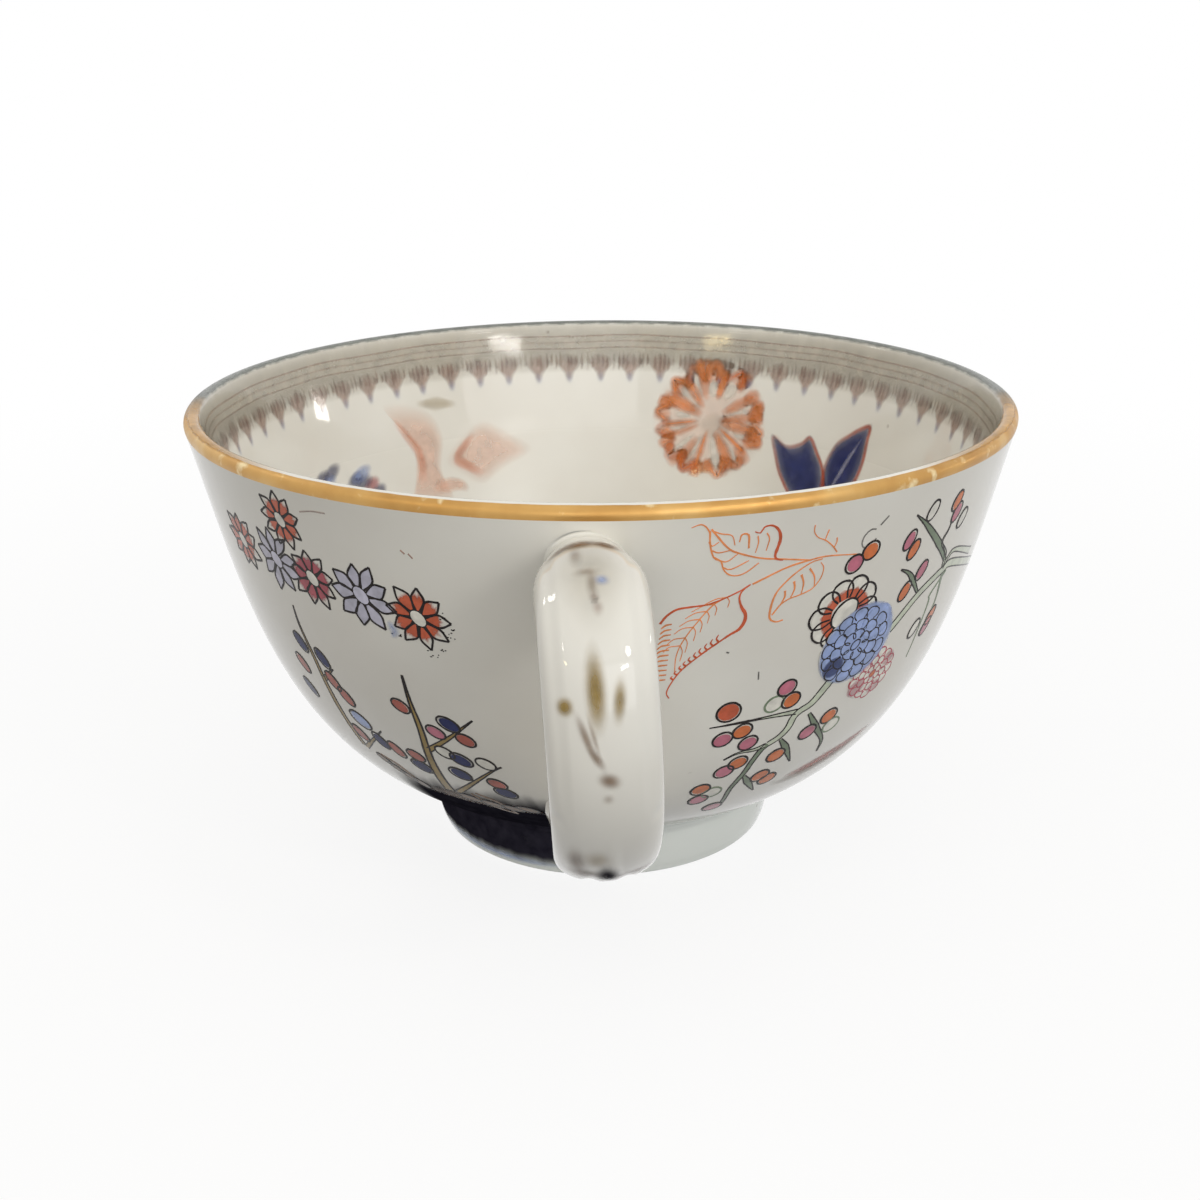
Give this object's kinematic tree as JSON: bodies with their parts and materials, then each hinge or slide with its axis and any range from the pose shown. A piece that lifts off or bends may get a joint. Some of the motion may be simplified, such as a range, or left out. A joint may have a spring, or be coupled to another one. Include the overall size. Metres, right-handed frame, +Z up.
{
  "type": "teacup",
  "caption": "Round porcelain teacup with a flared hemispherical bowl on a turned foot ring, a gilt lip and a loop handle, for drinking tea.",
  "frame": {"origin": "table level, under the middle of the box that holds cup and handle; the cup's own axis stands at y = +9.15 mm", "axes": "+Z up along the cup's axis, the handle points towards -Y"},
  "size_m": [0.0986, 0.1168, 0.0548],
  "materials": {
    "porcelain": "glossy",
    "slip": "glossy",
    "gilding": "satin"
  },
  "bodies": {
    "root": {"bowl": "porcelain", "foot_ring": "porcelain", "handle": "porcelain", "upper_handle_joint": "slip", "lower_handle_joint": "slip", "rim_gilding": "gilding"}
  },
  "joints": []
}
